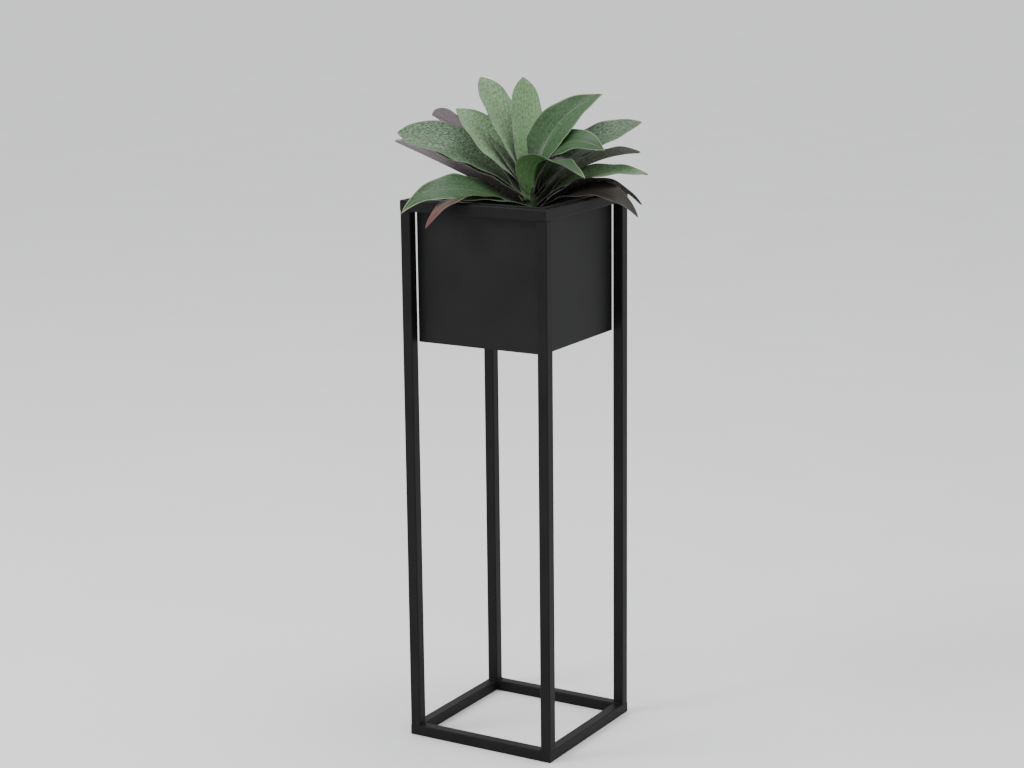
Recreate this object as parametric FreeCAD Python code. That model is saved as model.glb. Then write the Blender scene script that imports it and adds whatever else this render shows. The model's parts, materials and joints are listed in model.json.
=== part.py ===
import FreeCAD, Part
import math
import os

V = FreeCAD.Vector

# Raised planter: a welded stand of square steel tube carries a sheet-steel box in its top
# ring, and a plastic liner with a potted rosette plant stands in the box.
# Frame: origin on the floor under the middle of the stand, +Z up, -Y is the front. Units: mm.

# --- driving dimensions: stand ------------------------------------------------------------
STAND_WIDTH = 238.0
STAND_HEIGHT = 800.0
TUBE = 16.0
TUBE_WALL = 1.2
TUBE_CORNER = 1.5
WELD_LEG = 2.5

# --- driving dimensions: planter box ------------------------------------------------------
BOX_CLEARANCE = 1.0
BOX_DEPTH = 205.5
SHEET = 1.0
FLANGE = 10.0
BOX_WELD_LEG = 2.0

# --- driving dimensions: liner, soil and crown --------------------------------------------
LINER_GAP = 2.5
LINER_DRAFT = 8.0
LINER_WALL = 2.0
LINER_CORNER = 22.0
LINER_RIM_DROP = 13.0
LINER_RIM = 3.0
SOIL_DROP = 28.0
SOIL_GAP = 0.3
SOIL_DOME_RADIUS = 1500.0
CROWN_AT = (24.0, 8.0)
CROWN_RADIUS = 11.0
CROWN_TOP_RADIUS = 7.0
CROWN_ROOT = 22.0
CROWN_HEIGHT = 46.0

# --- driving dimensions: leaves -----------------------------------------------------------
LEAF_THICKNESS = 1.4
LEAF_START = 7.0
LEAF_STATIONS = 13
TIP_WIDTH = 1.6

# Each leaf's midrib is a quadratic curve in the upright plane of its compass direction, and its
# outer end hangs by droop * s^5, with s from 0 at the base to 1 at the tip:
# (direction from +X in degrees, height at the crown, (reach, height) of the arch point,
#  (reach, height) of the tip before the droop, width, fold of each half, roll about the midrib,
#  droop, power of the outline's taper: 2 is slender, 9 is blunt)
LEAVES = {
    "leaf_left_low":    (238, 779, (134, 843), (206, 803), 93, 12, -36, 14, 1.3),
    "leaf_left_red":    (248, 775, (106, 827), (188, 806), 38, 4, 6, 36, 8),
    "leaf_left_mid":    (208, 784, (88, 829), (196, 879), 62, 44, -6, 0, 10),
    "leaf_left_wide":   (192, 793, (98, 882), (206, 884), 66, 20, -34, 0, 9),
    "leaf_left_back":   (174, 790, (92, 884), (181, 905), 76, 12, 42, 0, 9),
    "leaf_left_high":   (190, 800, (50, 874), (116, 920), 66, 24, -35, 0, 5),
    "leaf_left_inner":  (168, 804, (33, 868), (92, 901), 64, 20, -10, 0, 4.5),
    "leaf_left_short":  (220, 777, (48, 806), (98, 812), 44, 20, -20, 0, 4.5),
    "leaf_upper_left":  (176, 809, (42, 895), (89, 964), 54, 28, -20, 0, 10),
    "leaf_centre_tall": (140, 813, (21, 871), (36, 965), 48, 20, 0, 0, 12),
    "leaf_upper_right": (60, 809, (10, 909), (118, 937), 66, 24, 34, 0, 3.5),
    "leaf_right_high":  (42, 799, (50, 871), (161, 899), 54, 22, 30, 0, 8),
    "leaf_right_bend":  (18, 803, (31, 908), (104, 865), 62, 12, 26, 0, 6),
    "leaf_right_mid":   (38, 789, (71, 858), (157, 857), 48, 30, -22, 0, 7),
    "leaf_right_arch":  (32, 784, (68, 846), (166, 827), 50, 16, 14, 0, 7),
    "leaf_right_droop": (30, 777, (75, 841), (157, 807), 66, 10, -16, 24, 4),
    "leaf_right_low":   (10, 774, (77, 830), (158, 804), 72, 10, 12, 30, 4),
    "leaf_front_arch":  (-24, 795, (-18, 888), (124, 836), 68, 14, -8, 0, 4),
    "leaf_back_low":    (106, 780, (72, 850), (166, 836), 52, 22, 0, 0, 4.5),
    "leaf_back_left":   (146, 783, (85, 855), (200, 850), 52, 22, 0, 0, 4.5),
    "leaf_back_mid":    (128, 792, (50, 880), (130, 884), 54, 25, 0, 0, 4.5),
    "leaf_back_right":  (66, 779, (52, 856), (108, 842), 70, 16, -6, 0, 4.5),
}

# --- sizes that follow from the driving dimensions ----------------------------------------
HALF_STAND = STAND_WIDTH / 2
HALF_OPENING = HALF_STAND - TUBE
LEG_CENTRE = HALF_STAND - TUBE / 2
HALF_BOX = HALF_OPENING - BOX_CLEARANCE
BOX_BOTTOM = STAND_HEIGHT - BOX_DEPTH
FLANGE_TOP = STAND_HEIGHT + SHEET
LINER_BOTTOM = BOX_BOTTOM + SHEET
LINER_TOP = FLANGE_TOP - LINER_RIM_DROP
SOIL_TOP = FLANGE_TOP - SOIL_DROP
SIDES = {"front": 0, "right": 90, "back": 180, "left": 270}
CORNERS = {"front_left": (-1, -1), "front_right": (1, -1), "back_right": (1, 1), "back_left": (-1, 1)}


def polygon_face(points):
    """Flat face through 3-D points."""
    return Part.Face(Part.makePolygon(points + [points[0]]))


def rounded_square(half, radius, z):
    """Wire of a square of half width `half` with rounded corners, at height z."""
    inner = half - radius
    edges = []
    for turn in range(4):
        a = math.radians(90 * turn)
        along = V(math.cos(a), math.sin(a), 0)
        out = V(math.sin(a), -math.cos(a), 0)
        start = out * half - along * inner
        end = out * half + along * inner
        middle = out * inner + along * inner + (out + along) * (radius / math.sqrt(2))
        corner_end = out * inner + along * half
        lift = V(0, 0, z)
        edges.append(Part.makeLine(start + lift, end + lift))
        edges.append(Part.Arc(end + lift, middle + lift, corner_end + lift).toShape())
    return Part.Wire(edges)


def square_tube(length):
    """Hollow square tube standing on z = 0, centred on the Z axis."""
    outer = Part.Face(rounded_square(TUBE / 2, TUBE_CORNER, 0)).extrude(V(0, 0, length))
    bore_half = TUBE / 2 - TUBE_WALL
    bore = Part.Face(rounded_square(bore_half, TUBE_CORNER / 3, 0)).extrude(V(0, 0, length))
    return outer.cut(bore)


def turned(shape, degrees):
    """Copy of the shape turned about the stand's upright axis."""
    copy = shape.copy()
    copy.rotate(V(0, 0, 0), V(0, 0, 1), degrees)
    return copy


def mitred_front_bar(bar, half_outer, half_inner, z_low, z_high):
    """Part of a front bar between the two 45 degree corner planes."""
    plan = polygon_face([V(-half_outer, -half_outer, z_low), V(half_outer, -half_outer, z_low),
                         V(half_inner, -half_inner, z_low), V(-half_inner, -half_inner, z_low)])
    return bar.common(plan.extrude(V(0, 0, z_high - z_low)))


def rail(z_centre):
    """Front rail of a ring, along X, with mitred ends."""
    bar = square_tube(STAND_WIDTH)
    bar.rotate(V(0, 0, 0), V(0, 1, 0), 90)
    bar.translate(V(-HALF_STAND, -LEG_CENTRE, z_centre))
    return mitred_front_bar(bar, HALF_STAND, HALF_OPENING, z_centre - TUBE, z_centre + TUBE)


def leg(x_side, y_side):
    """Upright between the base ring and the top ring."""
    post = square_tube(STAND_HEIGHT - 2 * TUBE)
    post.translate(V(x_side * LEG_CENTRE, y_side * LEG_CENTRE, TUBE))
    return post


def fillet_bead(size, length):
    """Three-sided weld bead along Y, its square corner on the Y axis, legs towards +X and +Z."""
    face = polygon_face([V(0, 0, 0), V(size, 0, 0), V(0, 0, size)])
    return face.extrude(V(0, length, 0))


def ring_welds(z, upward):
    """Two beads at each leg, on the inner faces, where the leg meets the ring."""
    length = TUBE - 2 * TUBE_CORNER
    bead = fillet_bead(WELD_LEG, length)
    if not upward:
        bead.rotate(V(0, 0, 0), V(1, 0, 0), 180)
        bead.translate(V(0, length, 0))
    bead.translate(V(-HALF_OPENING, -HALF_STAND + TUBE_CORNER, z))
    pair = bead.mirror(V(0, 0, 0), V(1, 0, 0))
    beads = []
    for angle in SIDES.values():
        beads.append(turned(bead, angle))
        beads.append(turned(pair, angle))
    return Part.makeCompound(beads)


def box_wall(long_side):
    """Front panel of the box with its folded rim flange; side panels butt between the long ones."""
    half_length = HALF_BOX if long_side else HALF_BOX - SHEET
    wall = Part.makeBox(2 * half_length, SHEET, BOX_DEPTH + SHEET, V(-half_length, -HALF_BOX, BOX_BOTTOM))
    reach = HALF_BOX + FLANGE
    strip = Part.makeBox(2 * reach, FLANGE, SHEET, V(-reach, -reach, STAND_HEIGHT))
    flange = mitred_front_bar(strip, reach, HALF_BOX, STAND_HEIGHT - SHEET, FLANGE_TOP + SHEET)
    if not long_side:
        cap = 2 * SHEET
        for x_side in (-1, 1):
            wedge = polygon_face([V(x_side * HALF_BOX, -HALF_BOX, STAND_HEIGHT),
                                  V(x_side * (HALF_BOX - SHEET), -HALF_BOX, STAND_HEIGHT),
                                  V(x_side * (HALF_BOX - SHEET), -HALF_BOX - SHEET, STAND_HEIGHT)])
            flange = flange.cut(wedge.extrude(V(0, 0, cap)))
    return wall.fuse(flange).removeSplitter()


def box_floor():
    """Floor plate between the four walls."""
    half = HALF_BOX - SHEET
    return Part.makeBox(2 * half, 2 * half, SHEET, V(-half, -half, BOX_BOTTOM))


def box_welds():
    """Upright beads in the four inner corners of the box."""
    face = polygon_face([V(0, 0, 0), V(BOX_WELD_LEG, 0, 0), V(0, BOX_WELD_LEG, 0)])
    inner = HALF_BOX - SHEET
    bead = face.extrude(V(0, 0, BOX_DEPTH - SHEET - TUBE))
    bead.translate(V(-inner, -inner, BOX_BOTTOM + SHEET))
    return Part.makeCompound([turned(bead, angle) for angle in SIDES.values()])


def tapered_block(half_low, half_high, radius, z_low, z_high):
    """Rounded square block that widens upwards."""
    wires = [rounded_square(half_low, radius, z_low), rounded_square(half_high, radius, z_high)]
    return Part.makeLoft(wires, True, True)


def liner_half(z):
    """Outer half width of the liner tub at height z."""
    top = HALF_BOX - SHEET - LINER_GAP
    return top - LINER_DRAFT * (LINER_TOP - z) / (LINER_TOP - LINER_BOTTOM)


def liner_tub():
    """Open tub with a thin wall, a floor and a thickened rim."""
    body = tapered_block(liner_half(LINER_BOTTOM), liner_half(LINER_TOP), LINER_CORNER,
                         LINER_BOTTOM, LINER_TOP)
    rim = Part.Face(rounded_square(liner_half(LINER_TOP) + LINER_WALL / 2, LINER_CORNER,
                                   LINER_TOP - LINER_RIM)).extrude(V(0, 0, LINER_RIM))
    floor_z = LINER_BOTTOM + LINER_WALL
    hollow = tapered_block(liner_half(floor_z) - LINER_WALL, liner_half(LINER_TOP) - LINER_WALL,
                           LINER_CORNER - LINER_WALL, floor_z, LINER_TOP)
    return body.fuse(rim).cut(hollow)


def crown():
    """Stout stem of the rosette, rooted in the soil."""
    profile = [V(0, 0, -CROWN_ROOT), V(CROWN_RADIUS, 0, -CROWN_ROOT), V(CROWN_RADIUS, 0, CROWN_HEIGHT / 3),
               V(CROWN_TOP_RADIUS, 0, CROWN_HEIGHT), V(0, 0, CROWN_HEIGHT)]
    stem = polygon_face(profile).revolve(V(0, 0, 0), V(0, 0, 1), 360)
    stem.translate(V(CROWN_AT[0], CROWN_AT[1], SOIL_TOP))
    return stem


def potting_soil(stem):
    """Soil that fills the liner under a slightly domed surface, with a pocket for the stem."""
    low = LINER_BOTTOM + LINER_WALL + SOIL_GAP
    inset = LINER_WALL + SOIL_GAP
    block = tapered_block(liner_half(low) - inset, liner_half(SOIL_TOP) - inset,
                          LINER_CORNER - LINER_WALL, low, SOIL_TOP)
    dome = Part.makeSphere(SOIL_DOME_RADIUS, V(0, 0, SOIL_TOP - SOIL_DOME_RADIUS), V(0, 0, 1))
    return block.common(dome).cut(stem)


def leaf_width_share(s, taper):
    """Share of the full width at s = 0 (base) to 1 (tip): a broad blade that ends in a point."""
    return (0.5 + 0.5 * math.sin(math.pi / 2 * min(1.0, 2 * s)) ** 1.2) * (1 - s ** taper)


def leaf_midrib(s, base_height, arch, tip, droop):
    """(reach, height) of the midrib and its slope direction at s."""
    start = (LEAF_START, base_height)
    spot = [(1 - s) ** 2 * start[k] + 2 * s * (1 - s) * arch[k] + s * s * tip[k] for k in (0, 1)]
    slope = [2 * (1 - s) * (arch[k] - start[k]) + 2 * s * (tip[k] - arch[k]) for k in (0, 1)]
    spot[1] -= droop * s ** 5
    slope[1] -= 5 * droop * s ** 4
    return spot, slope


def leaf_section(s, spec):
    """Closed six-cornered outline of the blade across its midrib at s."""
    direction, base_height, arch, tip, width, fold, roll, droop, taper = spec
    a = math.radians(direction)
    outward = V(math.cos(a), math.sin(a), 0)
    sideways = V(-math.sin(a), math.cos(a), 0)
    (reach, height), (d_reach, d_height) = leaf_midrib(s, base_height, arch, tip, droop)
    centre = V(CROWN_AT[0], CROWN_AT[1], height) + outward * reach
    along = outward * d_reach + V(0, 0, d_height)
    along.normalize()
    side = sideways - along * sideways.dot(along)
    side.normalize()
    upper = along.cross(side)
    turn = math.radians(roll) * min(1.0, 2 * s)
    rolled_side = side * math.cos(turn) + upper * math.sin(turn)
    rolled_upper = upper * math.cos(turn) - side * math.sin(turn)
    half = max(width * leaf_width_share(s, taper), TIP_WIDTH) / 2
    bend = math.radians(fold) * (1 - 0.4 * s)
    wing = rolled_side * (half * math.cos(bend))
    lift = rolled_upper * (half * math.sin(bend))
    skin = rolled_upper * (LEAF_THICKNESS / 2)
    left = centre + wing + lift
    right = centre - wing + lift
    return Part.makePolygon([left + skin, centre + skin, right + skin,
                             right - skin, centre - skin, left - skin, left + skin])


def leaf(spec, stem):
    """Blade lofted through its sections, ending where it meets the stem."""
    sections = [leaf_section(k / (LEAF_STATIONS - 1), spec) for k in range(LEAF_STATIONS)]
    blade = Part.makeLoft(sections, True, True).cut(stem)
    return max(blade.Solids, key=lambda solid: solid.Volume)


def stand_nodes():
    """Named shapes of the welded stand."""
    nodes = {}
    base = rail(TUBE / 2)
    top = rail(STAND_HEIGHT - TUBE / 2)
    for side, angle in SIDES.items():
        nodes["base_rail_" + side] = turned(base, angle)
        nodes["top_rail_" + side] = turned(top, angle)
    for corner, (x_side, y_side) in CORNERS.items():
        nodes["leg_" + corner] = leg(x_side, y_side)
    nodes["base_welds"] = ring_welds(TUBE, True)
    nodes["top_welds"] = ring_welds(STAND_HEIGHT - TUBE, False)
    return nodes


def box_nodes():
    """Named shapes of the sheet-steel box."""
    nodes = {}
    for side, angle in SIDES.items():
        nodes["box_wall_" + side] = turned(box_wall(side in ("front", "back")), angle)
    nodes["box_floor"] = box_floor()
    nodes["box_welds"] = box_welds()
    return nodes


def plant_nodes():
    """Named shapes of the liner and what grows in it."""
    stem = crown()
    nodes = {"liner_tub": liner_tub(), "potting_soil": potting_soil(stem), "plant_crown": stem}
    for name, spec in LEAVES.items():
        nodes[name] = leaf(spec, stem)
    return nodes


def main():
    """Writes one STEP file per node."""
    os.makedirs("parts", exist_ok=True)
    for nodes in (stand_nodes(), box_nodes(), plant_nodes()):
        for name, shape in nodes.items():
            shape.exportStep("parts/" + name + ".step")


main()
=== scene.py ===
import json
import math

import bpy
import numpy as np
from bpy.props import FloatProperty, FloatVectorProperty, IntProperty, PointerProperty
from mathutils import Matrix, Vector


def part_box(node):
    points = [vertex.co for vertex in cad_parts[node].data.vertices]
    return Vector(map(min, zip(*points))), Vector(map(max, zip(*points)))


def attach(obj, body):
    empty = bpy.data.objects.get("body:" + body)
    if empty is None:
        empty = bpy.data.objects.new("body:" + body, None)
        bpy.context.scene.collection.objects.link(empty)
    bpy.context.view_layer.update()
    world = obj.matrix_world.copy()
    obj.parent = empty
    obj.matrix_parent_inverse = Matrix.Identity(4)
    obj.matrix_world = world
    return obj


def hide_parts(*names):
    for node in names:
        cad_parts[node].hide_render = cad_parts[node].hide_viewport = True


bl_info = {
    "name": "Raised Planter",
    "version": (1, 0, 0),
    "blender": (4, 5, 0),
    "location": "3D View > Sidebar > Planter",
    "description": "Finishes a square-tube planter stand and grows a broad-leaved rosette in it",
    "category": "Object",
}

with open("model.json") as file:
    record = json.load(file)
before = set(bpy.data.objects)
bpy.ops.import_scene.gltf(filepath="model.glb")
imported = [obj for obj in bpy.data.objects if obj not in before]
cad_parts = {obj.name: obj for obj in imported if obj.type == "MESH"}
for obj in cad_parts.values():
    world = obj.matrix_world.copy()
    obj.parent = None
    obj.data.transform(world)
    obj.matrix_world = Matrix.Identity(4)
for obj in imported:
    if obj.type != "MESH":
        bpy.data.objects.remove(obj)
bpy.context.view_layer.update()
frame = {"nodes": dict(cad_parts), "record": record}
BODIES = frame["record"]["behaviour"]["bodies"]
MM = 0.001  # metres in a millimetre
UP = np.array([0.0, 0.0, 1.0])


def linear(hex_colour):
    """An sRGB hex colour as linear RGBA."""
    srgb = np.array([int(hex_colour[k:k + 2], 16) for k in (1, 3, 5)]) / 255
    rgb = np.where(srgb <= 0.04045, srgb / 12.92, ((srgb + 0.055) / 1.055) ** 2.4)
    return (*rgb.tolist(), 1.0)


def shifted(shade, times, plus=0.0):
    """A colour made lighter or darker: each channel times a factor plus a little."""
    return tuple(min(1.0, channel * times + plus) for channel in shade[:3]) + (1.0,)


def colour(name, description, hex_colour):
    """A colour that the user can change."""
    return FloatVectorProperty(name=name, description=description, default=linear(hex_colour),
                               size=4, min=0, max=1, subtype="COLOR")


def length(name, description, millimetres):
    """A length that the user can change."""
    return FloatProperty(name=name, description=description, default=millimetres * MM,
                         unit="LENGTH")


def number(name, description, count):
    """A count that the user can change."""
    return IntProperty(name=name, description=description, default=count, min=0)


def node_box(name):
    """A CAD node's lowest and highest corner as arrays."""
    return (np.array(corner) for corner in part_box(name))


# --- the rosette's leaves --------------------------------------------------------------------

def blade(direction, base, arch, tip, width, fold, roll, droop, taper,
          tone, scurf, brown=0.0, blush=0.0, under=1.0):
    """One leaf. direction is in degrees anticlockwise from +X, fold and roll are in degrees. In
    millimetres, base is the height where it leaves the stem, arch and tip are each a reach from
    the crown and a height, and width and droop are sizes. taper is the power with which the
    width runs out at the tip. tone runs from dark green to the sunlit green, partly the leaf's own
    green and partly painted light for how well the leaf is lit. scurf is the grey bloom, brown
    the age, and on leaves that hang in shadow also painted shade, blush the red of the outer end
    and under the purple of the underside."""
    return dict(direction=direction, base=base, arch=arch, tip=tip, width=width, fold=fold,
                roll=roll, droop=droop, taper=taper, tone=tone, scurf=scurf, brown=brown,
                blush=blush, under=under)


CROWN_AT = (24.0, 8.0)
LEAF_START = 7.0
# tone in this table is partly each leaf's own green and partly painted light, set to how well the
# leaf is lit
LEAVES = {
    "leaf_left_low": blade(238, 779, (134, 843), (206, 803), 93, 12, -36, 14, 1.3,
                          tone=0, scurf=0.15),
    "leaf_left_red": blade(248, 775, (106, 827), (188, 806), 38, 4, 6, 36, 8,
                          tone=0.05, scurf=0.05, brown=0.55, blush=1),
    "leaf_left_mid": blade(208, 784, (88, 829), (196, 879), 62, 44, -6, 0, 10,
                          tone=0.25, scurf=0.7),
    "leaf_left_wide": blade(192, 793, (98, 882), (206, 884), 66, 20, -34, 0, 9,
                           tone=0.08, scurf=0.55),
    "leaf_left_back": blade(174, 790, (92, 884), (181, 905), 76, 12, 42, 0, 9,
                           tone=0.4, scurf=0.8),
    "leaf_left_high": blade(190, 800, (50, 874), (116, 920), 66, 24, -35, 0, 5,
                           tone=0.95, scurf=1),
    "leaf_left_inner": blade(168, 804, (33, 868), (92, 901), 64, 20, -10, 0, 4.5,
                            tone=0.5, scurf=1),
    "leaf_left_short": blade(220, 777, (48, 806), (98, 812), 44, 20, -20, 0, 4.5,
                            tone=0.1, scurf=0.4, brown=0.3),
    "leaf_upper_left": blade(176, 809, (42, 895), (89, 964), 54, 28, -20, 0, 10,
                            tone=1, scurf=1),
    "leaf_centre_tall": blade(140, 813, (21, 871), (36, 965), 48, 20, 0, 0, 12,
                             tone=1, scurf=0.75),
    "leaf_upper_right": blade(60, 809, (10, 909), (118, 937), 66, 24, 34, 0, 3.5,
                             tone=0.02, scurf=0.15),
    "leaf_right_high": blade(42, 799, (50, 871), (161, 899), 54, 22, 30, 0, 8,
                            tone=0, scurf=0.4),
    "leaf_right_bend": blade(18, 803, (31, 908), (104, 865), 62, 12, 26, 0, 6,
                            tone=0, scurf=0),
    "leaf_right_mid": blade(38, 789, (71, 858), (157, 857), 48, 30, -22, 0, 7,
                           tone=0, scurf=0.15, brown=0.5, under=0.7),
    "leaf_right_arch": blade(32, 784, (68, 846), (166, 827), 50, 16, 14, 0, 7,
                            tone=0.45, scurf=0.5),
    # these two hang in shadow over the right corner: their brown is partly their age and partly
    # painted shade
    "leaf_right_droop": blade(30, 777, (75, 841), (157, 807), 66, 10, -16, 24, 4,
                             tone=0.05, scurf=0.05, brown=0.95),
    "leaf_right_low": blade(10, 774, (77, 830), (158, 804), 72, 10, 12, 30, 4,
                           tone=0.05, scurf=0.05, brown=0.95),
    "leaf_front_arch": blade(-24, 795, (-18, 888), (124, 836), 68, 14, -8, 0, 4,
                            tone=0, scurf=0.05, under=0.1),
    "leaf_back_low": blade(106, 780, (72, 850), (166, 836), 52, 22, 0, 0, 4.5,
                          tone=0.3, scurf=0.3),
    "leaf_back_left": blade(146, 783, (85, 855), (200, 850), 52, 22, 0, 0, 4.5,
                           tone=0.4, scurf=0.6),
    "leaf_back_mid": blade(128, 792, (50, 880), (130, 884), 54, 25, 0, 0, 4.5,
                          tone=0.5, scurf=0.5),
    "leaf_back_right": blade(66, 779, (52, 856), (108, 842), 70, 16, -6, 0, 4.5,
                            tone=0.1, scurf=0.1, brown=0.5),
}
PLANT_BODY = "potted_plant"
SOIL_SETTLING = 1.5 * MM
SOIL_DOME_RADIUS = 1.5


# --- what a user can change ------------------------------------------------------------------

class PlanterFinish(bpy.types.PropertyGroup):
    """Colours and surface sizes of the stand, box, liner and soil."""
    coat: colour("Powder coat", "Satin black of the stand", "#0a090a")
    box_coat: colour("Box coat", "Satin black of the sheet-steel box", "#0d0d0e")
    peel: length("Orange peel", "Pitch of the coat's fine ripple", 2.4)
    stand_bead: length("Stand weld", "Leg of the fillet welds on the tubes", 2.5)
    box_bead: length("Box weld", "Leg of the fillet welds in the box", 2.0)
    bead_pitch: length("Bead pitch", "Distance between the ripples of a weld", 1.8)
    liner: colour("Liner", "Black moulded plastic", "#18181a")
    soil: colour("Soil", "Damp peat", "#2b1f17")
    bark: colour("Bark", "Bark chips", "#4a3423")
    grit: colour("Grit", "Expanded white grit", "#b9b2a4")
    lump: length("Soil lump", "Height of the soil's lumps", 3.0)
    chips: number("Bark chips", "How many chips lie on the soil", 520)
    grains: number("Grit grains", "How many grit grains lie on the soil", 150)


class PlanterLeaves(bpy.types.PropertyGroup):
    """Colours and sizes shared by all leaves."""
    # painted shade: the dull green that the upper side darkens to at its base, where the leaf
    # bases crowd
    base_shade: colour("Dull green", "Base of a leaf", "#3d4d35")
    green: colour("Green", "Dark leaf", "#2b4d26")
    # painted light: a lit copy of the leaf green, brought in on each leaf by its tone
    bright: colour("Bright green", "Sunlit leaf", "#5f8f4c")
    scurf: colour("Scurf", "Grey bloom on the upper side", "#98a596")
    margin: colour("Margin", "Pale margin and midrib", "#a9b98d")
    purple: colour("Underside", "Purple of the underside", "#66565f")
    # umber is the real brown of old leaves and of the stem, and also the painted shade at the base
    # of each underside
    umber_and_base_shade: colour("Umber", "Brown of old leaves and leaf bases", "#261d1c")
    blush: colour("Blush", "Red of an old leaf", "#5c2a2f")
    margin_thickness: length("Margin thickness", "Thickness of a blade at its margin", 0.5)
    rib_thickness: length("Rib thickness", "Thickness of a blade at its midrib", 1.7)
    wave: length("Margin wave", "Height of the margins' slow wave", 1.2)
    wave_pitch: length("Wave pitch", "Distance between two waves of a margin", 46)
    vein_pitch: length("Vein pitch", "Distance between two veins", 2.6)


class PlanterStage(bpy.types.PropertyGroup):
    """Floor, lights and lens."""
    floor: colour("Floor", "Pale studio floor", "#f6f6f5")
    sky: colour("Surround", "Light of the pale room", "#f4f5f7")
    surround: FloatProperty(name="Surround strength", description="Brightness of the room",
                            default=1.15, min=0)
    lens: FloatProperty(name="Lens", description="Focal length", default=78.73, unit="CAMERA")


# --- meshes from arrays ----------------------------------------------------------------------

def unit(vectors):
    """Vectors of length one along the last axis."""
    return vectors / np.linalg.norm(vectors, axis=-1, keepdims=True)


def closed_surface(rings, first_pole, last_pole):
    """Vertices and faces of a closed surface: rings[i, j] runs round loop j at station i, and
    each end is closed by a fan to its pole. The faces are turned if the signed volume, the sum
    of each face's corner triple products over six, comes out negative."""
    stations, around, _ = rings.shape
    i, j = np.meshgrid(np.arange(stations - 1), np.arange(around), indexing="ij")
    following = (j + 1) % around
    quads = np.stack([i * around + j, i * around + following,
                      (i + 1) * around + following, (i + 1) * around + j], -1).reshape(-1, 4)
    j = np.arange(around)
    following = (j + 1) % around
    last = (stations - 1) * around
    pole = np.full(around, stations * around)
    fans = np.concatenate([np.stack([pole, following, j], -1),
                           np.stack([pole + 1, last + j, last + following], -1)])
    vertices = np.concatenate([rings.reshape(-1, 3), [first_pole, last_pole]])
    corners = np.concatenate([quads[:, [0, 1, 2]], quads[:, [0, 2, 3]], fans])
    a, b, c = (vertices[corners[:, k]] for k in range(3))
    if np.einsum("ij,ij->i", a, np.cross(b, c)).sum() < 0:
        quads = quads[:, ::-1]
        fans = fans[:, ::-1]
    return vertices, quads, fans


def joined(surfaces):
    """Several closed surfaces as one set of vertices, quads and triangles."""
    starts = np.cumsum([0] + [len(vertices) for vertices, _, _ in surfaces[:-1]])
    return (np.concatenate([vertices for vertices, _, _ in surfaces]),
            np.concatenate([quads + start for (_, quads, _), start in zip(surfaces, starts)]),
            np.concatenate([fans + start for (_, _, fans), start in zip(surfaces, starts)]))


def piece(name, surface, materials, body, replaced=(), smooth=True, uvs=None, values=None,
          face_slots=None):
    """A mesh object from (vertices, quads, triangles) in metres, riding on its body. uvs are
    per-vertex maps by name, values per-vertex numbers by name."""
    vertices, quads, fans = surface
    corners = np.concatenate([quads.ravel(), fans.ravel()]).astype(np.int32)
    sizes = np.concatenate([np.full(len(quads), 4), np.full(len(fans), 3)])
    mesh = bpy.data.meshes.new(name)
    mesh.vertices.add(len(vertices))
    mesh.vertices.foreach_set("co", vertices.astype(np.float32).ravel())
    mesh.loops.add(len(corners))
    mesh.loops.foreach_set("vertex_index", corners)
    mesh.polygons.add(len(sizes))
    mesh.polygons.foreach_set("loop_start", (np.cumsum(sizes) - sizes).astype(np.int32))
    for material in materials:
        mesh.materials.append(material)
    if face_slots is not None:
        mesh.polygons.foreach_set("material_index", face_slots.astype(np.int32))
    mesh.polygons.foreach_set("use_smooth", np.full(len(sizes), smooth))
    for map_name, places in (uvs or {}).items():
        layer = mesh.uv_layers.new(name=map_name)
        layer.data.foreach_set("uv", places[corners].astype(np.float32).ravel())
    for value_name, numbers in (values or {}).items():
        attribute = mesh.attributes.new(value_name, "FLOAT", "POINT")
        attribute.data.foreach_set("value", numbers.astype(np.float32))
    mesh.update(calc_edges=True)
    made = bpy.data.objects.new(name, mesh)
    bpy.context.scene.collection.objects.link(made)
    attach(made, body)
    if replaced:
        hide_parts(*replaced)
    return made


# --- node trees ------------------------------------------------------------------------------

def feed(tree, node, inputs):
    """Links a node's inputs to sockets, or sets them to values."""
    for socket, value in inputs.items():
        if isinstance(value, bpy.types.NodeSocket):
            tree.links.new(value, node.inputs[socket])
        else:
            node.inputs[socket].default_value = value


def add(tree, kind, inputs=None, stops=None, **settings):
    """Adds one node with its settings, ramp stops, input values and links."""
    made = tree.nodes.new(kind)
    for setting, value in settings.items():
        setattr(made, setting, value)
    if stops:
        elements = made.color_ramp.elements
        while len(elements) < len(stops):
            elements.new(0.5)
        for element, (position, shade) in zip(elements, stops):
            element.position = position
            element.color = shade
    feed(tree, made, inputs or {})
    return made


def material_tree(name):
    """A new material, its node tree and its Principled shader."""
    material = bpy.data.materials.new(name)
    material.use_nodes = True
    tree = material.node_tree
    return material, tree, tree.nodes["Principled BSDF"]


def grey(value):
    """A ramp stop's colour of one brightness."""
    return (value, value, value, 1.0)


def per(millimetres):
    """Noise scale on metres whose features are about this many millimetres wide."""
    return 1 / (millimetres * MM)


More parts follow.
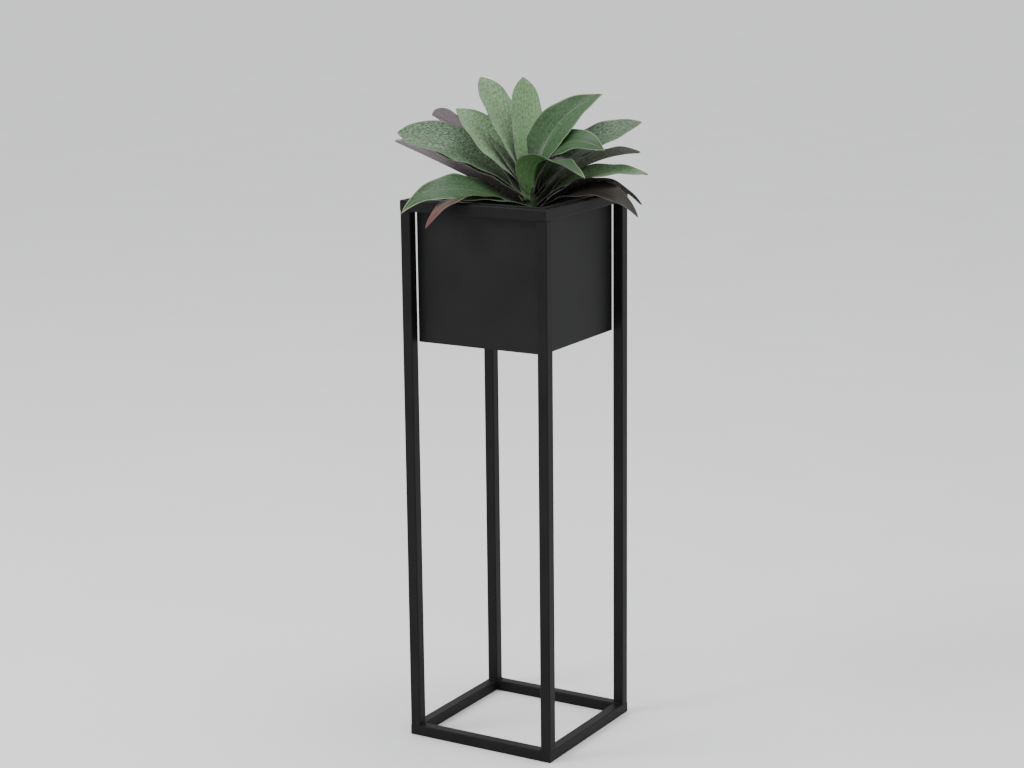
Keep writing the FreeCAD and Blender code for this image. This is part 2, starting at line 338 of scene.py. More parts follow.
def powder_coat(name, shade, peel, sheen):
    """Steel with a baked polyester powder coat: an even satin black whose faint orange peel
    breaks up the highlights, with a little dust that greys it in patches. sheen is the
    shader's specular level."""
    material, tree, shader = material_tree(name)
    places = add(tree, "ShaderNodeTexCoord").outputs["Object"]
    patches = add(tree, "ShaderNodeTexNoise", {"Vector": places, "Scale": per(110), "Detail": 4.0})
    base = add(tree, "ShaderNodeValToRGB", {"Fac": patches.outputs["Fac"]},
               stops=[(0.35, tuple(shade)), (0.75, shifted(shade, 1.5, 0.004))])
    gloss = add(tree, "ShaderNodeValToRGB", {"Fac": patches.outputs["Fac"]},
                stops=[(0.3, grey(0.46)), (0.8, grey(0.6))])
    ripple = add(tree, "ShaderNodeTexNoise", {"Vector": places, "Scale": 1 / peel, "Detail": 2.0})
    bump = add(tree, "ShaderNodeBump",
               {"Strength": 0.35, "Distance": 0.03 * MM, "Height": ripple.outputs["Fac"]})
    feed(tree, shader, {"Base Color": base.outputs["Color"], "Roughness": gloss.outputs["Color"],
                        "Normal": bump.outputs["Normal"], "IOR": 1.5, "Specular IOR Level": sheen})
    return material


def moulded_plastic(shade):
    """Injection-moulded polypropylene: black, a little waxy, with a fine even grain."""
    material, tree, shader = material_tree("moulded_polypropylene")
    places = add(tree, "ShaderNodeTexCoord").outputs["Object"]
    grain = add(tree, "ShaderNodeTexNoise", {"Vector": places, "Scale": per(1.1), "Detail": 2.0})
    smears = add(tree, "ShaderNodeTexNoise", {"Vector": places, "Scale": per(45), "Detail": 3.0})
    base = add(tree, "ShaderNodeValToRGB", {"Fac": smears.outputs["Fac"]},
               stops=[(0.4, tuple(shade)), (0.8, shifted(shade, 1.4, 0.001))])
    bump = add(tree, "ShaderNodeBump",
               {"Strength": 0.3, "Distance": 0.05 * MM, "Height": grain.outputs["Fac"]})
    feed(tree, shader, {"Base Color": base.outputs["Color"], "Normal": bump.outputs["Normal"],
                        "Roughness": 0.5, "IOR": 1.49, "Specular IOR Level": 0.3})
    return material


def damp_peat(shade, bark):
    """Potting soil: dark fibrous peat with lighter crumbs, rough and matt."""
    material, tree, shader = material_tree("damp_peat")
    places = add(tree, "ShaderNodeTexCoord").outputs["Object"]
    lumps = add(tree, "ShaderNodeTexNoise",
                {"Vector": places, "Scale": per(3.8), "Detail": 6.0, "Roughness": 0.7})
    clods = add(tree, "ShaderNodeTexVoronoi", {"Vector": places, "Scale": per(5.2)})
    base = add(tree, "ShaderNodeValToRGB", {"Fac": lumps.outputs["Fac"]},
               stops=[(0.3, shifted(shade, 0.45)), (0.55, tuple(shade)), (0.78, tuple(bark))])
    height = add(tree, "ShaderNodeMath", {0: lumps.outputs["Fac"], 1: clods.outputs["Distance"]},
                 operation="ADD")
    bump = add(tree, "ShaderNodeBump",
               {"Strength": 0.9, "Distance": 1.2 * MM, "Height": height.outputs["Value"]})
    feed(tree, shader, {"Base Color": base.outputs["Color"], "Normal": bump.outputs["Normal"],
                        "Roughness": 0.92})
    return material


def chip_material(name, shade, rough):
    """Crushed bark or grit: each crumb a little lighter or darker, matt and pitted."""
    material, tree, shader = material_tree(name)
    places = add(tree, "ShaderNodeTexCoord").outputs["Object"]
    spots = add(tree, "ShaderNodeTexNoise", {"Vector": places, "Scale": per(6.2), "Detail": 4.0})
    base = add(tree, "ShaderNodeValToRGB", {"Fac": spots.outputs["Fac"]},
               stops=[(0.35, shifted(shade, 0.5)), (0.7, tuple(shade))])
    pits = add(tree, "ShaderNodeTexNoise", {"Vector": places, "Scale": per(0.7), "Detail": 2.0})
    bump = add(tree, "ShaderNodeBump",
               {"Strength": 0.6, "Distance": 0.2 * MM, "Height": pits.outputs["Fac"]})
    feed(tree, shader, {"Base Color": base.outputs["Color"], "Normal": bump.outputs["Normal"],
                        "Roughness": rough})
    return material


def leaf_patterns(tree, leaves):
    """Shared by both sides of a leaf: place along the blade, parallel veins as noise drawn out
    along the blade, and flecks of scurf. Real scurf scales are under half a millimetre, too
    fine to show, so they are drawn 1.8 mm wide and 4.5 mm long."""
    share = add(tree, "ShaderNodeSeparateXYZ",
                {"Vector": add(tree, "ShaderNodeUVMap", uv_map="blade").outputs["UV"]})
    metres = add(tree, "ShaderNodeUVMap", uv_map="blade_metres").outputs["UV"]
    strands = add(tree, "ShaderNodeMapping",
                  {"Vector": metres, "Scale": (1 / leaves.vein_pitch, per(70), 1.0)})
    veins = add(tree, "ShaderNodeTexNoise",
                {"Vector": strands.outputs["Vector"], "Scale": 1.0, "Detail": 3.0})
    scales = add(tree, "ShaderNodeMapping", {"Vector": metres, "Scale": (per(1.8), per(4.5), 1.0)})
    flecks = add(tree, "ShaderNodeTexNoise", {"Vector": scales.outputs["Vector"], "Scale": 1.0,
                                              "Detail": 4.0, "Roughness": 0.65})
    return share.outputs["Y"], veins.outputs["Fac"], flecks.outputs["Fac"]


def leaf_layers(tree, ground, *layers):
    """A leaf's colours laid over its ground colour, one after another. A layer is how much of
    it covers what is below, its colour, and its blend if it isn't plain cover."""
    for cover, shade, *blend in layers:
        # the colour sockets share their names with others, so they go by number
        ground = add(tree, "ShaderNodeMix", {0: cover, 6: ground, 7: shade}, data_type="RGBA",
                     blend_type=(blend or ["MIX"])[0]).outputs[2]
    return ground


def leaf_upper_material(leaves):
    """Upper side of a rosette leaf: waxy green cuticle over parallel veins, pale or purple along
    the midrib and margin, powdered with grey scurf, and brown or red on old leaves. Painted shade
    dulls it towards the sheathed base, painted light brings a well-lit leaf towards the sunlit
    green, and the brown of leaves that hang in shadow is partly painted shade."""
    material, tree, shader = material_tree("waxy_leaf_upper")
    along, veins, flecks = leaf_patterns(tree, leaves)
    tone, scurf, brown, blush, rim = (
        add(tree, "ShaderNodeAttribute", attribute_name=name).outputs["Fac"]
        for name in ("tone", "scurf", "brown", "blush", "rim"))
    streak = add(tree, "ShaderNodeValToRGB", {"Fac": veins},
                 stops=[(0.3, grey(0.55)), (0.7, grey(1.15))])
    # painted shade: from the base to 0.42 of the way out, the upper side darkens to the dull base
    # green
    shade = add(tree, "ShaderNodeValToRGB", {"Fac": along},
                stops=[(0.04, grey(0.0)), (0.42, grey(1.0))])
    spread = add(tree, "ShaderNodeValToRGB", {"Fac": flecks},
                 stops=[(0.42, grey(0.0)), (0.62, grey(1.0))])
    amount = add(tree, "ShaderNodeMath", {0: spread.outputs["Color"], 1: scurf},
                 operation="MULTIPLY")
    # partly painted light: each leaf's green is brought towards the sunlit green as far as its
    # tone says
    body = leaf_layers(tree, leaves.green, (tone, leaves.bright),
                       (0.8, streak.outputs["Color"], "MULTIPLY"))
    body = leaf_layers(tree, leaves.base_shade, (shade.outputs["Color"], body),
                       (amount.outputs["Value"], leaves.scurf), (brown, leaves.umber_and_base_shade),
                       (rim, leaf_layers(tree, leaves.margin, (scurf, leaves.purple))),
                       (blush, leaves.blush))
    bump = add(tree, "ShaderNodeBump", {"Strength": 0.5, "Distance": 0.25 * MM, "Height": veins})
    gloss = add(tree, "ShaderNodeValToRGB", {"Fac": amount.outputs["Value"]},
                stops=[(0.0, grey(0.4)), (1.0, grey(0.68))])
    feed(tree, shader, {"Base Color": body, "Roughness": gloss.outputs["Color"],
                        "Normal": bump.outputs["Normal"], "IOR": 1.45, "Specular IOR Level": 0.35})
    return material


def leaf_under_material(leaves):
    """Underside of a rosette leaf: purple-brown or plain green under a grey bloom, with raised
    parallel veins. Its purple darkens to umber towards the base as painted shade, and its green is
    lifted towards the sunlit green as painted light."""
    material, tree, shader = material_tree("waxy_leaf_underside")
    along, veins, flecks = leaf_patterns(tree, leaves)
    under, tone, brown, blush, rim = (
        add(tree, "ShaderNodeAttribute", attribute_name=name).outputs["Fac"]
        for name in ("under", "tone", "brown", "blush", "rim"))
    # painted shade: towards the base the underside's purple darkens to umber
    shade = add(tree, "ShaderNodeValToRGB", {"Fac": along},
                stops=[(0.05, grey(0.0)), (0.6, grey(1.0))])
    # painted light: the underside's green is lifted most of the way to the sunlit green, for faces
    # that hang in shade
    painted_underside_light = add(tree, "ShaderNodeMath", {0: tone, 1: 0.9}, operation="ADD", use_clamp=True)
    streak = add(tree, "ShaderNodeValToRGB", {"Fac": veins},
                 stops=[(0.3, grey(0.6)), (0.7, grey(1.2))])
    bloom = add(tree, "ShaderNodeValToRGB", {"Fac": flecks},
                stops=[(0.5, grey(0.0)), (0.7, grey(0.5))])
    purple = leaf_layers(tree, leaves.umber_and_base_shade, (shade.outputs["Color"], leaves.purple))
    body = leaf_layers(tree, leaves.green, (painted_underside_light.outputs["Value"], leaves.bright),
                       (under, purple), (brown, leaves.umber_and_base_shade),
                       (0.85, streak.outputs["Color"], "MULTIPLY"),
                       (bloom.outputs["Color"], leaves.scurf), (rim, leaves.purple),
                       (blush, leaves.blush))
    bump = add(tree, "ShaderNodeBump", {"Strength": 0.6, "Distance": 0.3 * MM, "Height": veins})
    feed(tree, shader, {"Base Color": body, "Normal": bump.outputs["Normal"], "Roughness": 0.58,
                        "IOR": 1.45})
    return material


def stem_material(leaves):
    """Short fibrous stem between the sheathing leaf bases."""
    material, tree, shader = material_tree("fibrous_stem")
    places = add(tree, "ShaderNodeTexCoord").outputs["Object"]
    fibres = add(tree, "ShaderNodeMapping", {"Vector": places, "Scale": (per(2), per(2), per(17))})
    strands = add(tree, "ShaderNodeTexNoise",
                  {"Vector": fibres.outputs["Vector"], "Scale": 1.0, "Detail": 4.0})
    base = add(tree, "ShaderNodeValToRGB", {"Fac": strands.outputs["Fac"]},
               stops=[(0.3, tuple(leaves.umber_and_base_shade)), (0.7, tuple(leaves.green))])
    bump = add(tree, "ShaderNodeBump",
               {"Strength": 0.7, "Distance": 0.5 * MM, "Height": strands.outputs["Fac"]})
    feed(tree, shader, {"Base Color": base.outputs["Color"], "Normal": bump.outputs["Normal"],
                        "Roughness": 0.75})
    return material


def paint(nodes, material):
    """Gives CAD nodes one material."""
    for name in nodes:
        slots = frame["nodes"][name].data.materials
        slots.clear()
        slots.append(material)


# --- shapes ----------------------------------------------------------------------------------

def rounded_square(around, half, radius):
    """Points of a square with rounded corners, anticlockwise, for turn shares 0 to 1: each
    side's straight run and each corner's quarter circle take their own share of the length."""
    straight = 2 * (half - radius)
    quarter = math.pi / 2 * radius
    side = straight + quarter
    distance = around * 4 * side
    turn = np.floor(distance / side) % 4
    along = distance - np.floor(distance / side) * side
    bend = np.clip((along - straight) / quarter, 0, 1) * math.pi / 2
    x = np.minimum(along, straight) - straight / 2 + radius * np.sin(bend)
    y = -half + radius * (1 - np.cos(bend))
    angle = turn * math.pi / 2
    return np.stack([x * np.cos(angle) - y * np.sin(angle),
                     x * np.sin(angle) + y * np.cos(angle)], -1)


def swept_tub(profile, around=160):
    """Closed tub: each profile point (half width, height, corner radius) is carried round a
    rounded square of that half width and radius."""
    share = (np.arange(around) + 0.5) / around
    rings = np.array([
        np.column_stack([rounded_square(share, half, radius), np.full(around, height)])
        for half, height, radius in profile])
    return closed_surface(rings, rings[0].mean(0), rings[-1].mean(0))


def weld_bead(start, end, leg_a, leg_b, size, pitch):
    """Fillet weld from start to end. Its section is the corner point and a curve from one
    plate's toe to the other's: the straight line between them, swollen by 28 percent in its
    middle. The whole section shrinks by a seventh once per pitch, like a row of coins, and to
    55 percent at both ends."""
    swell, ripple, blunt_end = 0.28, 0.14, 0.55
    end_run = 0.7 * size
    span = np.linalg.norm(end - start)
    s = np.linspace(0, 1, max(24, int(span / pitch * 8)))  # eight stations to a ripple
    crown = 1 - ripple + ripple * np.abs(np.sin(math.pi * s * span / pitch))
    ends = np.minimum(1, np.minimum(s, 1 - s) * span / end_run) ** 0.5
    leg = size * crown * (blunt_end + (1 - blunt_end) * ends)
    angle = np.linspace(0, math.pi / 2, 7)
    bulge = (1 + swell * np.sin(2 * angle)) / (np.cos(angle) + np.sin(angle))
    curve = np.stack([np.cos(angle) * bulge, np.sin(angle) * bulge], -1)
    section = np.concatenate([[[0.0, 0.0]], curve])
    rings = (start + s[:, None, None] * (end - start)
             + leg[:, None, None] * (section[None, :, :1] * leg_a + section[None, :, 1:] * leg_b))
    return closed_surface(rings, rings[0].mean(0), rings[-1].mean(0))


def corner_welds(ring_z, away, finish):
    """Two beads at each leg, where its inner faces meet the ring, with one leg of the fillet
    pointing away from the ring."""
    beads = []
    gap = 1.5 * MM
    for corner in ("front_left", "front_right", "back_right", "back_left"):
        low, high = node_box("leg_" + corner)
        middle = (low + high) / 2
        inward = -np.sign(middle) * [1, 1, 0]
        inner = np.where(middle > 0, low, high)
        for axis in (0, 1):
            other = 1 - axis
            start = np.array([0.0, 0.0, ring_z])
            end = start.copy()
            start[axis] = end[axis] = inner[axis]
            start[other] = low[other] + gap
            end[other] = high[other] - gap
            toward = np.zeros(3)
            toward[axis] = inward[axis]
            beads.append(weld_bead(start, end, toward, away, finish.stand_bead, finish.bead_pitch))
    return joined(beads)


def upright_welds(finish):
    """One bead up each inner corner of the box."""
    low, high = node_box("box_welds")
    beads = []
    for x_side, y_side in ((0, 0), (1, 0), (1, 1), (0, 1)):
        x = (low, high)[x_side][0]
        y = (low, high)[y_side][1]
        leg_a = np.array([1.0 - 2 * x_side, 0, 0])
        leg_b = np.array([0, 1.0 - 2 * y_side, 0])
        foot, head = np.array([x, y, low[2]]), np.array([x, y, high[2]])
        beads.append(weld_bead(foot, head, leg_a, leg_b, finish.box_bead, finish.bead_pitch))
    return joined(beads)


def soil_height(x, y, lump):
    """Height of the soil: a slight dome with waves of several lengths, each given by its wave
    numbers along X and Y, its phase and its share of the lumps' height."""
    waves = ((61, 23, 0.3, 0.35), (-37, 88, 1.9, 0.3), (143, -71, 4.1, 0.2),
             (97, 171, 2.6, 0.17), (-260, 190, 0.8, 0.12), (310, 240, 5.2, 0.1),
             (520, -410, 3.3, 0.07), (-610, -580, 1.2, 0.06))
    height = sum(size * np.sin(kx * x + ky * y + phase) for kx, ky, phase, size in waves)
    dome = (x * x + y * y) / (2 * SOIL_DOME_RADIUS)
    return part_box("potting_soil")[1].z - SOIL_SETTLING - dome + lump * 0.5 * height


def soil_surface(lump):
    """Soil plug: rings of a rounded square from the middle out over the lumpy top, whose rim
    rounds off, then down the liner's tapered wall to a flat bottom."""
    low, high = node_box("potting_soil")
    half = high[0]
    corner, rim_drop, wall_top, draft = 20 * MM, 2 * MM, high[2] - 6 * MM, 7 * MM
    around, across, down = 360, 130, 8
    outline = rounded_square((np.arange(around) + 0.5) / around, half, corner)
    out = np.linspace(0, 1, across)[1:] ** 0.8
    plan = out[:, None, None] * outline[None]
    top = soil_height(plan[..., 0], plan[..., 1], lump) - rim_drop * out[:, None] ** 24
    surface = np.concatenate([plan, top[..., None]], -1)
    share = np.linspace(0, 1, down)[1:, None, None]
    wall_plan = (1 - share * draft / half) * outline[None]
    wall_height = np.broadcast_to(wall_top - share * (wall_top - low[2]), (down - 1, around, 1))
    rings = np.concatenate([surface, np.concatenate([wall_plan, wall_height], -1)])
    return closed_surface(rings, [0, 0, soil_height(0.0, 0.0, lump)], [0, 0, low[2]])


def crumbs(count, smallest, largest, flat, seed, lump):
    """Loose crumbs on the soil, smallest to largest in millimetres, their height a share of
    that between flat and flat + 0.3: each is a coarse sphere of three rings, squeezed by its own
    three radii, dented at random, turned at random and bedded in the soil, so that its middle
    stands about a third of its height radius above it."""
    rng = np.random.default_rng(seed)
    wall_gap, bedded = 6 * MM, 0.35
    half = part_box("potting_soil")[1].x - wall_gap
    rows, around = 3, 6
    lat = np.linspace(0, math.pi, rows + 2)[1:-1, None]
    lon = np.arange(around) / around * 2 * math.pi
    ball = np.stack([np.sin(lat) * np.cos(lon), np.sin(lat) * np.sin(lon),
                     np.broadcast_to(np.cos(lat), (rows, around))], -1)
    surfaces = []
    x, y = rng.uniform(-half, half, (2, count))
    size = rng.uniform(smallest, largest, count) * MM
    radii = size[:, None] * np.stack([rng.uniform(0.8, 1.3, count), rng.uniform(0.5, 0.9, count),
                                      rng.uniform(flat, flat + 0.3, count)], -1)
    spin = rng.uniform(0, 2 * math.pi, count)
    tilt = rng.uniform(-0.5, 0.5, count)
    dent = rng.uniform(0.75, 1.2, (count, rows, around))
    z = soil_height(x, y, lump) + radii[:, 2] * bedded
    for k in range(count):
        turn = np.array(Matrix.Rotation(spin[k], 3, "Z") @ Matrix.Rotation(tilt[k], 3, "X"))
        centre = np.array([x[k], y[k], z[k]])
        rings = (ball * dent[k][..., None] * radii[k]) @ turn.T + centre
        top = turn @ [0, 0, radii[k][2]] + centre
        bottom = turn @ [0, 0, -radii[k][2]] + centre
        surfaces.append(closed_surface(rings, top, bottom))
    return joined(surfaces)


def stem_surface():
    """Stem: a round column whose radius swells in a spiral of eight overlapping sheaths and
    shrinks with the square of the height over its upper half."""
    low, high = node_box("plant_crown")
    middle = (low + high) / 2
    radius = (high[0] - low[0]) / 2
    sheaths, lip, slimming = 8, 0.06, 0.85
    s = np.linspace(0, 1, 90)[:, None]
    theta = np.arange(72) / 72 * 2 * math.pi
    swelling = 0.92 + lip * np.mod(s * sheaths + theta / (2 * math.pi), 1.0)
    spread = radius * (1 - slimming * np.clip((s - 0.5) / 0.5, 0, 1) ** 2) * swelling
    rings = np.stack([middle[0] + spread * np.cos(theta), middle[1] + spread * np.sin(theta),
                      np.broadcast_to(low[2] + s * (high[2] - low[2]), spread.shape)], -1)
    return closed_surface(rings, [middle[0], middle[1], low[2]], [middle[0], middle[1], high[2]])


def width_share(s, taper):
    """Share of a leaf's full width at s: it rises as a sine from half width at the base to full
    width in the middle and ends in a point, slender for a low power and blunt for a high one."""
    return (0.5 + 0.5 * np.sin(math.pi / 2 * np.minimum(1, 2 * s)) ** 1.2) * (1 - s ** taper)


def midrib(leaf, s):
    """A leaf's midrib in millimetres at each s from 0 to 1, and its sideways and upper
    directions there. It is a quadratic curve from the stem over the arch point to the tip, in
    the upright plane of the leaf's direction, less a droop with s to the fifth. The sideways
    direction is level at the stem and has turned by the whole roll from half way out."""
    angle = math.radians(leaf["direction"])
    outward = np.array([math.cos(angle), math.sin(angle), 0])
    sideways = np.array([-math.sin(angle), math.cos(angle), 0])
    start = np.array([LEAF_START, leaf["base"]])
    arch, tip = np.array(leaf["arch"], float), np.array(leaf["tip"], float)
    spot = ((1 - s)[:, None] ** 2 * start + (2 * s * (1 - s))[:, None] * arch
            + s[:, None] ** 2 * tip)
    centre = (np.array([*CROWN_AT, 0]) + spot[:, :1] * outward + spot[:, 1:] * UP
              - (leaf["droop"] * s ** 5)[:, None] * UP)
    along = unit(np.gradient(centre, s, axis=0))
    side = unit(sideways - (along @ sideways)[:, None] * along)
    upper = np.cross(along, side)
    turn = math.radians(leaf["roll"]) * np.minimum(1, 2 * s)[:, None]
    return (centre, side * np.cos(turn) + upper * np.sin(turn),
            upper * np.cos(turn) - side * np.sin(turn))


def leaf_looks(leaf, serial, s, t, half, run):
    """A leaf's maps, per-vertex values and face slots, for rings that run out along the upper
    skin and back along the lower one, with a pole at each end. The map blade is the share
    across and along, and blade_metres the real distance from the midrib and from the base. rim,
    the pale margin and midrib, fades as bell curves, and blush grows with s to the third."""
    n, m = len(s), len(t)
    rim_side, rim_cover, midrib_cover = 0.9, 0.8, 0.15
    loop = np.concatenate([t, t[::-1]])
    from_rib = loop * half[:, None]
    share = np.stack(np.broadcast_arrays((loop + 1) / 2, s[:, None]), -1).reshape(-1, 2)
    metres = np.stack(np.broadcast_arrays(from_rib * MM + serial, run[:, None] * MM), -1)
    metres = metres.reshape(-1, 2)
    uvs = {"blade": np.concatenate([share, [[0.5, 0.0], [0.5, 1.0]]]),
           "blade_metres": np.concatenate([metres, [metres[m // 2], metres[-m // 2]]])}
    from_margin = (1 - np.abs(loop)) * half[:, None]
    rim = np.maximum(np.exp(-(from_margin / rim_side) ** 2),
                     midrib_cover * np.exp(-(from_rib / rim_side) ** 2))
    rim = np.concatenate([rim.ravel(), [0.0, 1.0]])
    values = {name: np.full(len(rim), leaf[name]) for name in ("tone", "scurf", "brown", "under")}
    values["rim"] = rim * rim_cover * (1 - 0.8 * leaf["brown"])
    redness = np.broadcast_to(s[:, None] ** 3, (n, 2 * m)).ravel()
    values["blush"] = leaf["blush"] * np.concatenate([redness, [0.0, 1.0]])
    lower_skin = (np.arange(2 * m) >= m).astype(int)
    return uvs, values, np.concatenate([np.tile(lower_skin, n - 1), np.tile(lower_skin, 2)])


def leaf_surface(leaf, leaves, serial):
    """Leaf blade and its looks. Across the midrib, at t from -1 to 1, the blade lies along the
    sideways direction times t and rises by a rounded V of its fold, which flattens towards the
    tip. The margins wave slowly, with the cube of t. Both skins stand half the thickness off,
    thick at the rib and the base and thin at the margins. The rib's swelling, the keel under it
    and the groove over it each fall off as a bell curve to their own side distance."""
    softness, flattening, base_stoutness = 0.1, 0.4, 0.8
    narrowest, slim_half, rib_side = 0.8, 3.0, 4.0
    keel_depth, keel_side = 0.7, 1.6
    groove_depth, groove_side = 0.45, 1.1
    s = 1 - (1 - np.linspace(0, 1, 120)) ** 1.5
    t = np.linspace(-1, 1, 43)
    centre, side, upper = midrib(leaf, s)
    half = np.maximum(leaf["width"] * width_share(s, leaf["taper"]), narrowest) / 2
    bend = math.radians(leaf["fold"]) * (1 - flattening * s)
    vee = ((np.sqrt(t ** 2 + softness ** 2) - softness)
           / (math.sqrt(1 + softness ** 2) - softness))
    run = np.concatenate([[0], np.cumsum(np.linalg.norm(np.diff(centre, axis=0), axis=1))])
    # each leaf's wave starts elsewhere, and its two margins are out of step
    phase = run / (leaves.wave_pitch / MM) * 2 * math.pi + serial * 1.7
    sway = np.sin(phase[:, None] + 2.1 * np.sign(t)) * np.abs(t) ** 3
    calm = (np.minimum(1, 3 * s) * np.minimum(1, 4 * (1 - s)))[:, None]
    across = t * (half * np.cos(bend))[:, None]
    lift = vee * (half * np.sin(bend))[:, None] + leaves.wave / MM * sway * calm
    middle = centre[:, None] + side[:, None] * across[..., None] + upper[:, None] * lift[..., None]
    place = t * half[:, None]
    slim = np.minimum(1, half / slim_half)[:, None]
    thin, thick = leaves.margin_thickness / MM, leaves.rib_thickness / MM
    stout = ((thin + (thick - thin) * np.exp(-(place / rib_side) ** 2)) * slim
             * (1 + base_stoutness * (1 - s[:, None]) ** 3))
    keel = keel_depth * np.exp(-(place / keel_side) ** 2) * slim
    groove = groove_depth * np.exp(-(place / groove_side) ** 2) * slim
    top = middle + upper[:, None] * (stout / 2 - groove)[..., None]
    under = middle - upper[:, None] * (stout / 2 + keel)[..., None]
    rings = np.concatenate([top, under[:, ::-1]], 1) * MM
    surface = closed_surface(rings, rings[0].mean(0), centre[-1] * MM)
    return surface, *leaf_looks(leaf, serial, s, t, half, run)


# --- operators -------------------------------------------------------------------------------

class PLANTER_OT_stand(bpy.types.Operator):
    """Coats the welded stand and lays its weld beads"""
    bl_idname = "planter.stand"
    bl_label = "Finish Stand"

    def execute(self, context):
        finish = context.scene.planter_finish
        coat = powder_coat("powder_coated_tube", finish.coat, finish.peel, sheen=0.16)
        paint(BODIES["stand"], coat)
        base_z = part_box("base_rail_front")[1].z
        top_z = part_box("top_rail_front")[0].z
        piece("base_weld_beads", corner_welds(base_z, UP, finish), [coat],
              "stand", ["base_welds"])
        piece("top_weld_beads", corner_welds(top_z, -UP, finish), [coat],
              "stand", ["top_welds"])
        return {"FINISHED"}


class PLANTER_OT_box(bpy.types.Operator):
    """Coats the sheet-steel box and lays its inner weld beads"""
    bl_idname = "planter.box"
    bl_label = "Finish Box"

    def execute(self, context):
        finish = context.scene.planter_finish
        coat = powder_coat("powder_coated_sheet", finish.box_coat, finish.peel, sheen=0.19)
        paint(BODIES["planter_box"], coat)
        piece("box_weld_beads", upright_welds(finish), [coat],
              "planter_box", ["box_welds"])
        return {"FINISHED"}


class PLANTER_OT_liner(bpy.types.Operator):
    """Makes the moulded liner tub"""
    bl_idname = "planter.liner"
    bl_label = "Make Liner"

    def execute(self, context):
        low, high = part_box("liner_tub")
        wall, rim, lip, draft = 2 * MM, 3 * MM, 1 * MM, 8 * MM
        corner = 22 * MM
        body_half = high.x - lip
        foot_half = body_half - draft
        inner_half, inner_corner = foot_half - wall, corner - wall
        profile = [(foot_half - 4 * MM, low.z, corner - 4 * MM),
                   (foot_half - 1 * MM, low.z + 0.5 * MM, corner),
                   (foot_half, low.z + 2.5 * MM, corner),
                   (body_half, high.z - rim, corner)]
        radius = rim / 2
        for a in np.linspace(-math.pi / 2, math.pi, 14).tolist():
            profile.append((high.x - radius + radius * math.cos(a),
                            high.z - radius + radius * math.sin(a), corner))
        profile += [(body_half - wall, high.z - rim - lip, inner_corner),
                    (inner_half, low.z + 2 * wall, inner_corner),
                    (inner_half - 3 * MM, low.z + wall, inner_corner - 3 * MM)]
        plastic = moulded_plastic(context.scene.planter_finish.liner)
        piece("liner_shell", swept_tub(profile), [plastic], PLANT_BODY,
              ["liner_tub"])
        return {"FINISHED"}


class PLANTER_OT_soil(bpy.types.Operator):
    """Fills the liner with soil, bark chips and grit"""
    bl_idname = "planter.soil"
    bl_label = "Fill Soil"

    def execute(self, context):
        finish = context.scene.planter_finish
        piece("soil_bed", soil_surface(finish.lump), [damp_peat(finish.soil, finish.bark)],
              PLANT_BODY, ["potting_soil"])
        lump = finish.lump
        bark = chip_material("crushed_bark", finish.bark, rough=0.85)
        chips = crumbs(finish.chips, smallest=1.6, largest=4.2, flat=0.25, seed=11, lump=lump)
        piece("bark_chips", chips, [bark], PLANT_BODY, smooth=False)
        grit = chip_material("expanded_grit", finish.grit, rough=0.9)
        grains = crumbs(finish.grains, smallest=0.9, largest=1.8, flat=0.6, seed=12, lump=lump)
        piece("grit_grains", grains, [grit], PLANT_BODY, smooth=False)
        return {"FINISHED"}


class PLANTER_OT_rosette(bpy.types.Operator):
    """Grows the stem and its leaves"""
    bl_idname = "planter.rosette"
    bl_label = "Grow Rosette"

    def execute(self, context):
        leaves = context.scene.planter_leaves
        piece("rosette_stem", stem_surface(), [stem_material(leaves)], PLANT_BODY,
              ["plant_crown"])
        sides = [leaf_upper_material(leaves), leaf_under_material(leaves)]
        for serial, (name, leaf) in enumerate(LEAVES.items()):
            # leaf surfaces are worked out in millimetres, and the rings leave in metres
            surface, uvs, values, face_slots = leaf_surface(leaf, leaves, serial)
            piece(name.replace("leaf", "blade"), surface, sides, PLANT_BODY, [name],
                  uvs=uvs, values=values, face_slots=face_slots)
        return {"FINISHED"}


# (name, place, point that it faces, width of its disc, watts)
LIGHTS = (("key_light", (-2.0, -2.4, 3.0), (0, 0, 0.8), 1.6, 75),
          ("top_light", (0.3, 0.2, 3.4), (0, 0, 0.8), 1.4, 30),
          ("side_light", (3.2, 0.4, 1.6), (0, 0, 0.5), 1.8, 4))
CAMERA_AT = (1.6186, -2.7407, 1.2325)
CAMERA_AZIMUTH, CAMERA_PITCH, CAMERA_ROLL = 30.70, 12.57, -0.62
FLOOR_REACH = 60.0


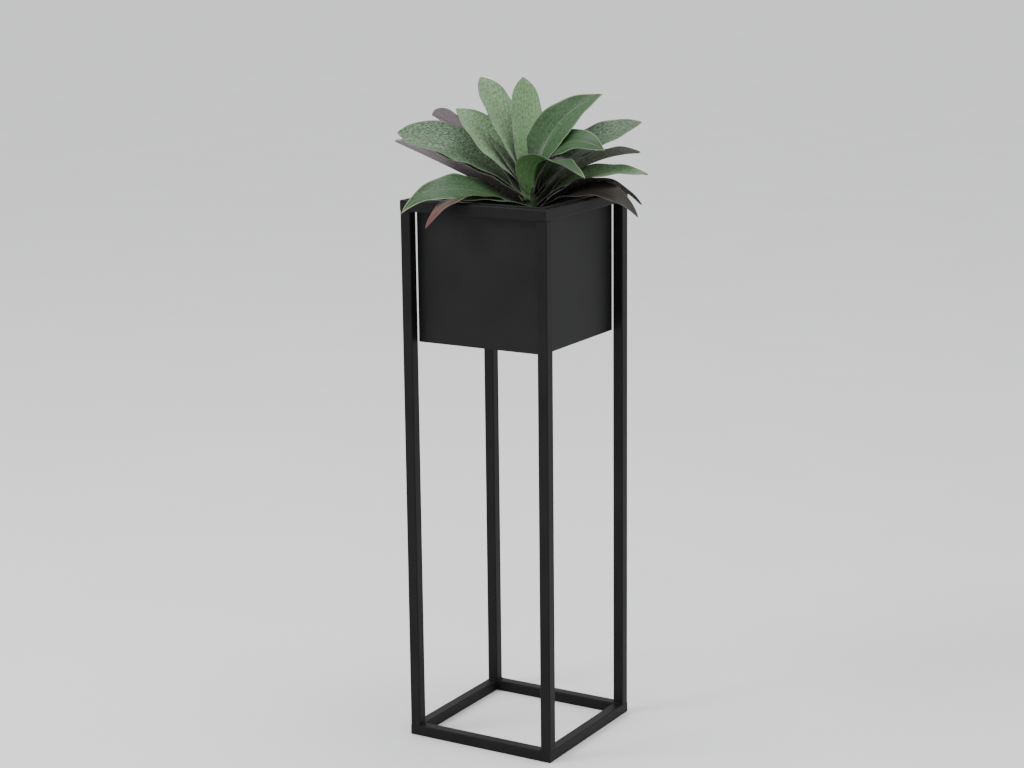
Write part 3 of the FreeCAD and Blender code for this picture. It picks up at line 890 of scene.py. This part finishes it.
class PLANTER_OT_stage(bpy.types.Operator):
    """Sets the floor, lights and camera"""
    bl_idname = "planter.stage"
    bl_label = "Set Stage"

    def execute(self, context):
        stage = context.scene.planter_stage
        floor_mesh = bpy.data.meshes.new("studio_floor")
        corners = [(x * FLOOR_REACH, y * FLOOR_REACH, 0)
                   for x, y in ((-1, -1), (1, -1), (1, 1), (-1, 1))]
        floor_mesh.from_pydata(corners, [], [(0, 1, 2, 3)])
        floor = bpy.data.objects.new("studio_floor", floor_mesh)
        material, tree, shader = material_tree("pale_studio_floor")
        places = add(tree, "ShaderNodeTexCoord").outputs["Object"]
        mottle = add(tree, "ShaderNodeTexNoise",
                     {"Vector": places, "Scale": per(330), "Detail": 3.0})
        base = add(tree, "ShaderNodeValToRGB", {"Fac": mottle.outputs["Fac"]},
                   stops=[(0.3, shifted(stage.floor, 0.97)), (0.7, tuple(stage.floor))])
        feed(tree, shader, {"Base Color": base.outputs["Color"], "Roughness": 0.85})
        floor_mesh.materials.append(material)
        context.scene.collection.objects.link(floor)
        world = bpy.data.worlds.new("pale_room")
        world.use_nodes = True
        background = world.node_tree.nodes["Background"]
        background.inputs["Color"].default_value = stage.sky
        background.inputs["Strength"].default_value = stage.surround
        context.scene.world = world
        for name, place, target, size, power in LIGHTS:
            lamp = bpy.data.lights.new(name, "AREA")
            lamp.shape = "DISK"
            lamp.size = size
            lamp.energy = power
            light = bpy.data.objects.new(name, lamp)
            light.location = place
            light.rotation_mode = "QUATERNION"
            light.rotation_quaternion = (Vector(target) - Vector(place)).to_track_quat("-Z", "Y")
            context.scene.collection.objects.link(light)
        lens = bpy.data.cameras.new("studio_camera")
        lens.lens = stage.lens
        lens.sensor_width = 36.0
        camera = bpy.data.objects.new("studio_camera", lens)
        turn = (Matrix.Rotation(math.radians(CAMERA_AZIMUTH), 4, "Z")
                @ Matrix.Rotation(math.radians(90 - CAMERA_PITCH), 4, "X")
                @ Matrix.Rotation(math.radians(CAMERA_ROLL), 4, "Z"))
        camera.matrix_world = Matrix.Translation(CAMERA_AT) @ turn
        context.scene.collection.objects.link(camera)
        context.scene.camera = camera
        return {"FINISHED"}


class PLANTER_PT_panel(bpy.types.Panel):
    """Lists the planter's steps in the order that they are run"""
    bl_label = "Raised Planter"
    bl_idname = "PLANTER_PT_panel"
    bl_space_type = "VIEW_3D"
    bl_region_type = "UI"
    bl_category = "Planter"

    def draw(self, context):
        for step in STEPS:
            self.layout.operator(step.bl_idname)
        for name, group in GROUPS.items():
            box = self.layout.box()
            for field in group.__annotations__:
                box.prop(getattr(context.scene, name), field)


GROUPS = {"planter_finish": PlanterFinish, "planter_leaves": PlanterLeaves,
          "planter_stage": PlanterStage}
STEPS = (PLANTER_OT_stand, PLANTER_OT_box, PLANTER_OT_liner, PLANTER_OT_soil, PLANTER_OT_rosette,
         PLANTER_OT_stage)
CLASSES = (*GROUPS.values(), *STEPS, PLANTER_PT_panel)


def register():
    """Adds the classes and hangs the property groups on the scene."""
    for each in CLASSES:
        bpy.utils.register_class(each)
    for name, group in GROUPS.items():
        setattr(bpy.types.Scene, name, PointerProperty(type=group))


def unregister():
    """Undoes register."""
    for name in GROUPS:
        delattr(bpy.types.Scene, name)
    for each in reversed(CLASSES):
        bpy.utils.unregister_class(each)


def main():
    """Runs every step in order."""
    register()
    for step in STEPS:
        area, name = step.bl_idname.split(".")
        getattr(getattr(bpy.ops, area), name)()


if __name__ == "__main__":
    main()
